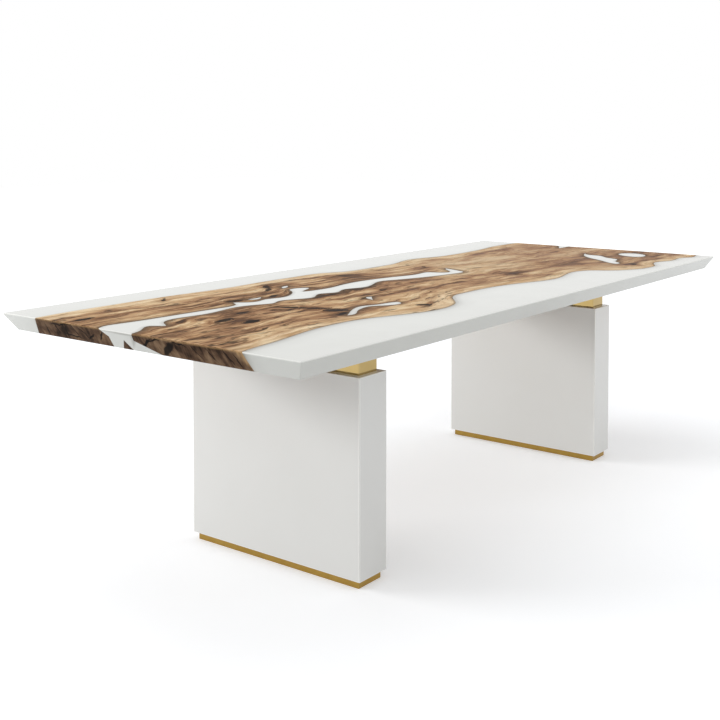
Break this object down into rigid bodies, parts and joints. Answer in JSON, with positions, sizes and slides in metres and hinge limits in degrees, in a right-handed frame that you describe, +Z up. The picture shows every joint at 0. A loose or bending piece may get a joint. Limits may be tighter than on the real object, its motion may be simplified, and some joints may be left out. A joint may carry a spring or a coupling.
{
  "type": "resin dining table",
  "caption": "Rectangular dining table: a forked live-edge walnut slab cast in white resin, its edges undercut, on slab pedestals with brass necks and recessed brass plinths.",
  "frame": {"origin": "on the floor under the middle of the table top", "axes": "+X along the table to the right as seen from the front, +Y from the front to the back, +Z up"},
  "size_m": [2.67, 1.12, 0.76],
  "materials": {
    "walnut": "clear satin coat over figured walnut",
    "white_resin": "opaque white cast epoxy, polished to satin gloss",
    "white_lacquer": "satin white lacquer on fibreboard",
    "bare_board": "bare fibreboard",
    "polished_brass": "polished",
    "satin_brass": "satin, brushed lengthways",
    "insert_brass": "turned",
    "black_steel": "black powder coat",
    "zinc_plated_steel": "zinc plated",
    "foot_plastic": "moulded"
  },
  "bodies": {
    "table": {"left_back_end_panel": "white_lacquer", "left_back_post": "black_steel", "left_base_plate": "black_steel", "left_base_screws": "zinc_plated_steel", "left_cap_panel": "white_lacquer", "left_floor_inserts": "insert_brass", "left_floor_panel": "bare_board", "left_front_end_panel": "white_lacquer", "left_front_post": "black_steel", "left_inner_panel": "white_lacquer", "left_mounting_plate": "black_steel", "left_mounting_screws": "zinc_plated_steel", "left_neck_sleeve": "polished_brass", "left_outer_panel": "white_lacquer", "left_plinth": "satin_brass", "left_stiffener": "black_steel", "middle_stiffener": "black_steel", "plate_inserts": "insert_brass", "resin_back_border": "white_resin", "resin_front_border": "white_resin", "resin_pocket_fills": "white_resin", "resin_river": "white_resin", "right_back_end_panel": "white_lacquer", "right_back_post": "black_steel", "right_base_plate": "black_steel", "right_base_screws": "zinc_plated_steel", "right_cap_panel": "white_lacquer", "right_floor_inserts": "insert_brass", "right_floor_panel": "bare_board", "right_front_end_panel": "white_lacquer", "right_front_post": "black_steel", "right_inner_panel": "white_lacquer", "right_mounting_plate": "black_steel", "right_mounting_screws": "zinc_plated_steel", "right_neck_sleeve": "polished_brass", "right_outer_panel": "white_lacquer", "right_plinth": "satin_brass", "right_stiffener": "black_steel", "stiffener_inserts": "insert_brass", "stiffener_screws": "zinc_plated_steel", "walnut_offcut": "walnut", "walnut_slab": "walnut"},
    "left_front_pad": {"left_front_foot_pad": "foot_plastic"},
    "left_front_stud": {"left_front_foot_stud": "zinc_plated_steel"},
    "left_back_pad": {"left_back_foot_pad": "foot_plastic"},
    "left_back_stud": {"left_back_foot_stud": "zinc_plated_steel"},
    "right_front_pad": {"right_front_foot_pad": "foot_plastic"},
    "right_front_stud": {"right_front_foot_stud": "zinc_plated_steel"},
    "right_back_pad": {"right_back_foot_pad": "foot_plastic"},
    "right_back_stud": {"right_back_foot_stud": "zinc_plated_steel"}
  },
  "joints": [
    {"name": "left_front_foot_slide", "type": "slide", "parent": "table", "child": "left_front_pad", "axis": [0, 0, -1], "range_m": [0, 0.012]},
    {"name": "left_front_stud_turn", "type": "hinge", "parent": "left_front_pad", "child": "left_front_stud", "pos_m": [-0.75, -0.257, 0], "axis": [0, 0, -1], "range_deg": [0, 2470]},
    {"name": "left_back_foot_slide", "type": "slide", "parent": "table", "child": "left_back_pad", "axis": [0, 0, -1], "range_m": [0, 0.012]},
    {"name": "left_back_stud_turn", "type": "hinge", "parent": "left_back_pad", "child": "left_back_stud", "pos_m": [-0.75, 0.257, 0], "axis": [0, 0, -1], "range_deg": [0, 2470]},
    {"name": "right_front_foot_slide", "type": "slide", "parent": "table", "child": "right_front_pad", "axis": [0, 0, -1], "range_m": [0, 0.012]},
    {"name": "right_front_stud_turn", "type": "hinge", "parent": "right_front_pad", "child": "right_front_stud", "pos_m": [0.75, -0.257, 0], "axis": [0, 0, -1], "range_deg": [0, 2470]},
    {"name": "right_back_foot_slide", "type": "slide", "parent": "table", "child": "right_back_pad", "axis": [0, 0, -1], "range_m": [0, 0.012]},
    {"name": "right_back_stud_turn", "type": "hinge", "parent": "right_back_pad", "child": "right_back_stud", "pos_m": [0.75, 0.257, 0], "axis": [0, 0, -1], "range_deg": [0, 2470]}
  ],
  "couplings": [
    {"joint": "left_front_stud_turn", "follows": "left_front_foot_slide", "rad_per_m": 3590.4},
    {"joint": "left_back_stud_turn", "follows": "left_back_foot_slide", "rad_per_m": 3590.4},
    {"joint": "right_front_stud_turn", "follows": "right_front_foot_slide", "rad_per_m": 3590.4},
    {"joint": "right_back_stud_turn", "follows": "right_back_foot_slide", "rad_per_m": 3590.4}
  ]
}
